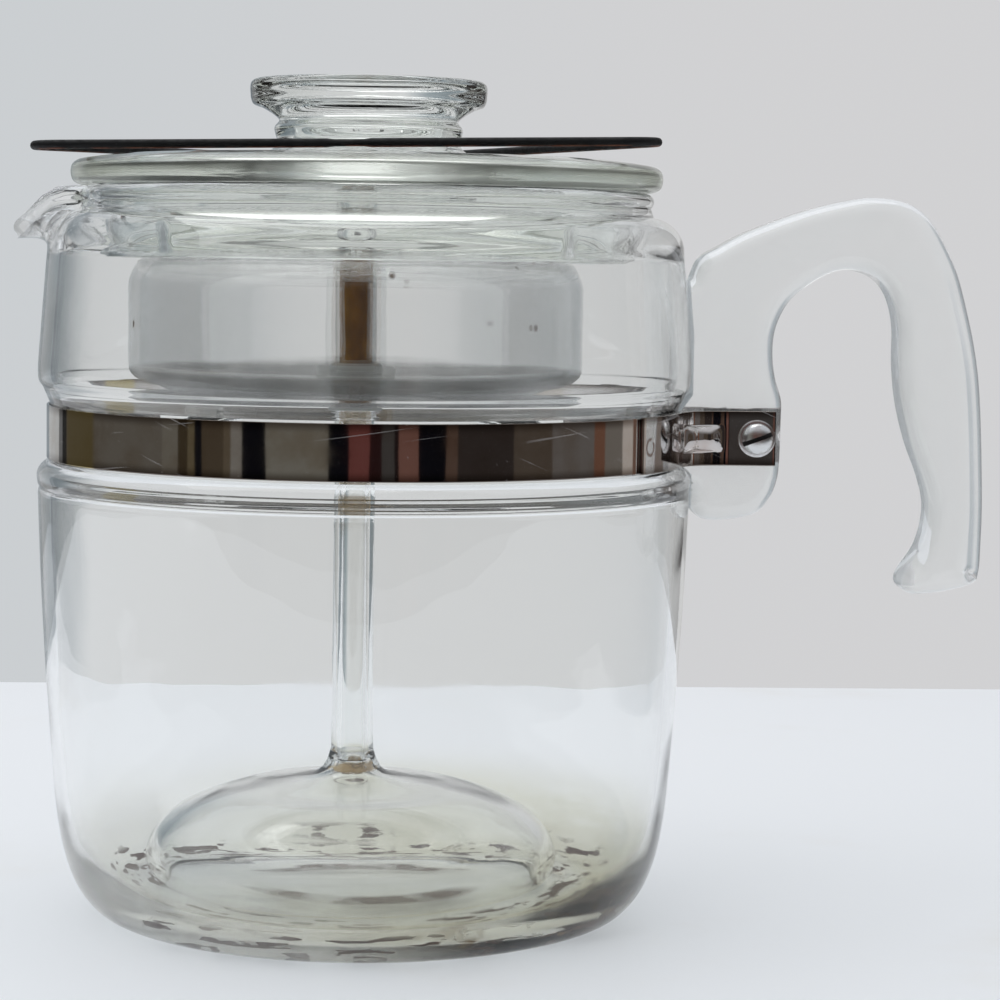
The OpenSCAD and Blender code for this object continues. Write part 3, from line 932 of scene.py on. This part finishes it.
def make_nut(material):
    """Hexagonal nut, its corners turned off on both faces."""
    flat = (NUT_HIGH.z - NUT_LOW.z) / 2
    y0, y1 = NUT_LOW.y, NUT_HIGH.y
    corner = flat / math.cos(math.pi / 6)
    heights = [(y0, flat), (y0 + 0.2, flat + 0.35), (y0 + 0.45, corner), (y1 - 0.45, corner),
               (y1 - 0.2, flat + 0.35), (y1, flat)]
    profile = [(1.8, y0)] + [(r, y) for y, r in heights] + [(1.8, y1)]

    def hexagon(v):
        r = v.xy.length
        if r < flat - 0.1:
            return v
        a = math.atan2(v.y, v.x)
        around = (a + math.pi / 6) % (math.pi / 3) - math.pi / 6
        limit = flat / math.cos(around)
        return Vector((*(v.xy * min(1, limit / r)), v.z))

    nut = lathe("hexagon_nut", profile, 120, hexagon, sharp=25)
    nut.data.transform(Matrix.Rotation(math.pi / 6, 4, "Z"))
    lay_along_screw(nut)
    show(nut, "pot", "clamp_nut", material)


# Brewing parts

def make_pump():
    bell_z = PUMP_LOW.z
    hub_z = BASKET_LOW.z
    outside = smooth([(BELL_R - 1.6, bell_z), (BELL_R - 0.2, 9.5), (BELL_R, 14), (BELL_R - 2.6, 19.6),
                      (39.5, 25), (27, 29.6), (13, 31.9), (7.6, 33.6), (STEM_R + 0.6, 37.4), (STEM_R, 42),
                      (STEM_R, 60)], 8)
    collar = [(STEM_R, hub_z - 3)] + arc((STEM_R, hub_z - 1.5), 1.0, -80, 80, 8) + [(STEM_R, hub_z)]
    mouth = arc((STEM_R - 0.8, PUMP_HIGH.z - 0.8), 0.8, 0, 180, 8)
    stem_top = [(STEM_R, PUMP_HIGH.z - 4)] + mouth
    inside = smooth([(BORE_R, 160), (BORE_R, 42), (BORE_R + 0.3, 36), (5.2, 31.6), (11, 29.2), (26, 26.7),
                     (37.6, 22.4), (BELL_R - 5.2, 17.8), (BELL_R - 3.2, 13.4), (BELL_R - 3.4, 9.5),
                     (BELL_R - 4.4, bell_z)], 8)
    pump = lathe("pump_glass", outside + collar + stem_top + inside, 200)
    centre_on_pump(pump)
    show(pump, "pump", "pump", pump_glass_material())


def make_basket(material):
    floor, wall, top = BASKET_FLOOR, 2.6, BASKET_HIGH.z
    hub_r = STEM_R + 1.4
    profile = [(STEM_R + 0.2, BASKET_LOW.z), (hub_r - 0.5, BASKET_LOW.z), (hub_r, BASKET_LOW.z + 0.5),
               (hub_r, floor - 0.3), (hub_r + 0.6, floor)]
    profile += arc((BASKET_R - 6, floor + 6), 6, -90, 0, 14)
    profile += arc((BASKET_R - 9, top - 9), 9, 0, 78, 14)
    profile += arc((BASKET_R - 9, top - 9), 9 - wall, 72, 0, 14)
    profile += arc((BASKET_R - 6.4, floor + wall + 3.8), 3.8, 0, -90, 12)
    profile += [(hub_r + 0.6, floor + wall), (hub_r, floor + wall + 0.3), (hub_r, BASKET_LOW.z + 10.5),
                (hub_r - 0.5, BASKET_LOW.z + 11), (STEM_R + 0.2, BASKET_LOW.z + 11)]
    basket = lathe("basket_glass", profile, 200)
    slots = []
    for i in range(8):
        slot = block((25, -1.2, floor - 1), (37, 1.2, floor + wall + 1))
        bevel(slot, 1.1, 60, 4)
        slot.data.transform(Matrix.Rotation(math.radians(45 * i), 4, "Z"))
        slots.append(slot)
    cut(basket, slots, 45)
    centre_on_pump(basket)
    show(basket, "basket", "basket", material)


def make_cover(material):
    low, high = COVER_LOW.z, COVER_HIGH.z
    profile = [(STEM_R + 0.6, low), (BASKET_R - 7.2, low)]
    profile += arc((BASKET_R - 4.5, (low + high) / 2), (high - low) / 2, -90, 90, 10)
    profile += smooth([(30, high), (STEM_R + 3, high), (STEM_R + 0.6, high - 0.4)], 6)
    cover = lathe("cover_glass", profile, 160)
    drills = []
    for ring in (1, 2, 3):
        for i in range(8 * ring):
            drill = make_drill(1, low - 1, high + 1, 20)
            a = math.radians(45 * i / ring)
            place = Vector((math.cos(a), math.sin(a), 0)) * 12 * ring * MM
            drill.data.transform(Matrix.Translation(place))
            drills.append(drill)
    joined = drills[0]
    with bpy.context.temp_override(active_object=joined, selected_editable_objects=drills):
        bpy.ops.object.join()
    cut(cover, [joined], 45)
    centre_on_pump(cover)
    show(cover, "cover", "basket_cover", material)


LUG_HALF_ANGLE = math.radians(45)


def add_lugs(v):
    """Swells the lid's skirt into two locking lugs, at -X and +X."""
    radius = v.xy.length
    if not 60 < radius < 62.2 or v.z > 163:
        return v
    around = abs(math.atan2(v.y, abs(v.x)))
    swell = ease(-around, -LUG_HALF_ANGLE - 0.012, -LUG_HALF_ANGLE + 0.012)
    swell *= ease(v.z, 154.6, 156.4) * ease(-v.z, -162.6, -161.0)
    grown = radius + (62.3 - radius) * swell
    return Vector((v.x * grown / radius, v.y * grown / radius, v.z))


def make_lid():
    top, under = 177.2, RIM_Z + 0.3
    knob_r = 27.6
    knob = smooth([(0, 191.6), (16, 191.9), (knob_r - 4, 193.2), (knob_r - 2, KNOB_TOP - 0.1),
                   (knob_r - 0.4, 194.4), (knob_r - 0.1, 192.4), (knob_r - 0.7, 189.5), (24.2, 188.3),
                   (20.9, 185.9), (21.9, 183.8), (21.4, 180.2), (24.5, 178), (32, top)], 8)
    rim = smooth([(LID_R - 10, top - 0.3), (LID_R - 3.2, top - 1.2), (LID_R - 1.2, 175.4),
                  (LID_R - 0.2, 174.2), (LID_R - 0.1, 172.2), (LID_R - 0.8, 170.7), (LID_R - 2.6, under),
                  (63.6, under)], 8)
    skirt = smooth([(61.9, 168.4), (61.6, 162.7), (60.8, 155.2), (59.6, 153.9), (58, 155), (58.4, 163),
                    (57.6, 170.4), (54, 173.2), (40, 173.9), (24, 174.4), (19.4, 176.6), (18.4, 181),
                    (17.6, 185.6), (14.6, 188), (0, 188.6)], 8)
    lid = lathe("lid_glass", knob + rim + skirt, 360, add_lugs)
    show(lid, "lid", "lid", lid_glass_material())


def make_trivet():
    """Bent wire triangle, butt-welded in the middle of its front bar, where it is a little thinner."""
    wire_r = 1.0
    lean = (WIRE_HIGH.z - WIRE_LOW.z - 2 * wire_r) / (WIRE_HIGH.x - WIRE_LOW.x)
    middle = Vector(((WIRE_LOW.x + WIRE_HIGH.x) / 2, 0, (WIRE_LOW.z + WIRE_HIGH.z) / 2))
    corner = 6
    front = WIRE_LOW.y + wire_r
    inradius = -front
    reach = 2 * inradius - 2 * corner
    outline = []
    for i in range(3):
        a = 120 * i - 30
        centre = (reach * math.cos(math.radians(a)), reach * math.sin(math.radians(a)))
        outline += arc(centre, corner, a - 60, a + 60, 12)
    line = resample(outline, 1.6)
    noise.seed_set(8)        # unseeded, noise_vector would take its start from the clock
    path = []
    for p in line:
        wander = noise.noise_vector((p.x * 0.02, p.y * 0.02, 7.0))
        bent = Vector((0.3 * wander.x, 0.3 * wander.y, 0.05 * wander.z))
        path.append(middle + Vector((p.x, p.y, p.x * lean)) + bent)

    def section(i):
        p = line[i]
        at_weld = p.y < front + 1 and abs(p.x) < 4.5
        return wire_r * (0.93 if at_weld else 1), wire_r * (0.78 if at_weld else 1)

    wire = tube("wire_triangle", path, section)
    show(wire, "trivet", "wire_trivet", wire_material())


# Stage

EYE_DISTANCE, EYE_HEIGHT = 0.680, 0.1554
PITCH, ROLL, YAW = 0.0846, 0.01429, math.radians(2.71)
FOCAL_SHARE = 2.899      # focal length as a share of the picture's width
TABLE_BACK, TABLE_FRONT, TABLE_SIDE = 357, -430, 900


def make_camera():
    data = bpy.data.cameras.new("camera")
    data.sensor_width = 36
    data.lens = 36 * FOCAL_SHARE
    data.clip_start = 0.01
    camera = add_object("camera", data)
    camera.location = (-0.0004, -EYE_DISTANCE, EYE_HEIGHT)
    aim = Matrix.Rotation(-YAW, 4, "Z") @ Matrix.Rotation(math.pi / 2 - PITCH, 4, "X")
    camera.rotation_euler = (aim @ Matrix.Rotation(ROLL, 4, "Z")).to_euler()
    bpy.context.scene.camera = camera


def make_table():
    """Plain pale table top with a few faint stains."""
    verts = [(-TABLE_SIDE, TABLE_FRONT, 0), (TABLE_SIDE, TABLE_FRONT, 0),
             (TABLE_SIDE, TABLE_BACK, 0), (-TABLE_SIDE, TABLE_BACK, 0)]
    table = make_piece("table", verts, [(0, 1, 2, 3)])
    g = Graph("painted table")
    tone = g.blend(g.levels(g.noise(9.0, 6.0, 0.6), 0.55, 0.8), (0.84, 0.86, 0.89), (0.81, 0.815, 0.82))
    table.data.materials.append(g.done(g.surface(tone, 0.55, g.bump(g.noise(300.0), 0.05, 0.0005))))


# Where each upright of the room begins, as degrees of bearing from -Y towards +X, and its colour
ROOM = [(-180, (0.30, 0.34, 0.37)), (-160, (0.54, 0.56, 0.57)), (-143, (0.17, 0.175, 0.18)),
        (-138, (0.03, 0.03, 0.03)), (-134, (0.115, 0.105, 0.09)), (-76, (0.14, 0.13, 0.11)),
        (-70, (0.045, 0.034, 0.02)), (-66, (0.11, 0.09, 0.055)), (-62.5, (0.006, 0.006, 0.008)),
        (-60, (0.065, 0.050, 0.034)), (-52, (0.10, 0.080, 0.056)), (-49, (0.19, 0.18, 0.165)),
        (-44, (0.004, 0.004, 0.006)), (-36, (0.17, 0.165, 0.145)), (-14, (0.004, 0.004, 0.006)),
        (-7, (0.13, 0.045, 0.04)), (1, (0.02, 0.008, 0.008)), (5, (0.050, 0.046, 0.044)),
        (9, (0.010, 0.006, 0.006)), (11, (0.15, 0.075, 0.06)), (17.5, (0.004, 0.004, 0.006)),
        (27, (0.085, 0.055, 0.042)), (31, (0.030, 0.024, 0.022)), (53, (0.075, 0.060, 0.048)),
        (68, (0.125, 0.115, 0.110)), (88, (0.15, 0.075, 0.05)), (93.5, (0.16, 0.145, 0.13)),
        (104, (0.46, 0.42, 0.39)), (112.5, (0.36, 0.31, 0.28)), (121, (0.19, 0.165, 0.15)),
        (143, (0.12, 0.11, 0.105)), (156, (0.60, 0.60, 0.60))]
# The same for rays that come out of glass, with gradual steps
THROUGH_GLASS = [(-180, (0.665, 0.67, 0.675)), (-170, (0.68, 0.69, 0.70)), (-167, (0.52, 0.55, 0.57)),
                 (-162, (0.28, 0.33, 0.36)), (-152, (0.17, 0.21, 0.235)), (-120, (0.22, 0.25, 0.27)),
                 (-60, (0.18, 0.185, 0.18)), (0, (0.16, 0.155, 0.145)), (60, (0.18, 0.18, 0.175)),
                 (110, (0.38, 0.39, 0.39)), (150, (0.55, 0.56, 0.56)), (168, (0.65, 0.655, 0.66)),
                 (180, (0.665, 0.67, 0.675))]


def around_the_room(graph, bearing, colours, interpolation):
    stops = [((angle + 180) / 360, colour) for angle, colour in colours]
    return graph.colours(graph.math("MULTIPLY_ADD", bearing, 0.5 / math.pi, 0.5), stops, interpolation)


def make_world():
    """A pale wall behind. Mirrors see the dim room in front, and refracted rays see it softened."""
    world = bpy.data.worlds.new("studio")
    bpy.context.scene.world = world
    g = Graph(world)
    direction = g.add("TexCoord").outputs["Generated"]
    axes = g.add("SeparateXYZ", {"Vector": direction}).outputs
    bearing = g.math("ARCTAN2", axes["X"], g.times(axes["Y"], -1.0))
    overhead = g.levels(axes["Z"], 0.2, 0.6)
    mirrored = g.blend(overhead, around_the_room(g, bearing, ROOM, "CONSTANT"), (0.62, 0.64, 0.67))
    steep = g.levels(g.math("ABSOLUTE", axes["Z"]), 0.2, 0.6)
    refracted = g.blend(steep, around_the_room(g, bearing, THROUGH_GLASS, "LINEAR"), (0.62, 0.64, 0.65))
    rightwards = g.levels(axes["X"], -0.16, 0.16)
    wall = g.blend(rightwards, (0.595, 0.620, 0.640), (0.640, 0.640, 0.650))
    rays = g.add("LightPath").outputs
    passed = rays["Is Transmission Ray"]
    mirror_ray = g.times(rays["Is Glossy Ray"], g.math("SUBTRACT", 1.0, passed))
    seen = g.blend(passed, wall, refracted)
    seen = g.blend(mirror_ray, seen, mirrored)
    shine = g.add("Background", {"Color": seen, "Strength": 1.0}).outputs[0]
    g.add("OutputWorld", {"Surface": shine})


def add_softbox(name, place, aim, size, power):
    data = bpy.data.lights.new(name, "AREA")
    data.shape = "RECTANGLE"
    data.size, data.size_y = size
    data.energy = power
    light = add_object(name, data)
    light.location = place
    light.rotation_euler = (Vector(aim) - Vector(place)).to_track_quat("-Z", "Y").to_euler()
    light.visible_camera = False
    return light


def make_lights():
    """Soft light from above, and a fill from the left that no glass mirrors."""
    add_softbox("overhead", (-0.2, 0.1, 1.3), (0.0, 0.0, 0.08), (1.4, 1.2), 7.5)
    fill = add_softbox("fill", (-1.1, -0.5, 0.6), (0.0, 0.0, 0.1), (0.7, 0.9), 3.0)
    fill.visible_glossy = False
    fill.visible_transmission = False


def set_render():
    """Enough bounces for light to get through four glass walls."""
    scene = bpy.context.scene
    scene.view_settings.view_transform = "Standard"
    scene.cycles.max_bounces = 24
    scene.cycles.transmission_bounces = 24
    scene.cycles.glossy_bounces = 6
    scene.cycles.diffuse_bounces = 3
    scene.cycles.transparent_max_bounces = 24
    scene.cycles.sample_clamp_indirect = 4.0


def main():
    make_camera()
    make_table()
    make_world()
    make_lights()
    set_render()
    make_pot()
    make_handle()
    make_strap()
    bright = bracket_material()
    make_bracket("bracket_front_steel", "clamp_bracket_front", -1, bright)
    make_bracket("bracket_rear_steel", "clamp_bracket_rear", 1, bright)
    fibre = cushion_material()
    make_cushion("fibre_pad_front", "cushion_front", -1, fibre)
    make_cushion("fibre_pad_rear", "cushion_rear", 1, fibre)
    plated = fastener_material()
    make_washer(plated)
    make_screw(plated)
    make_lock_washer(plated)
    make_nut(plated)
    make_pump()
    pressed = basket_glass_material()
    make_basket(pressed)
    make_cover(pressed)
    make_lid()
    make_trivet()


main()
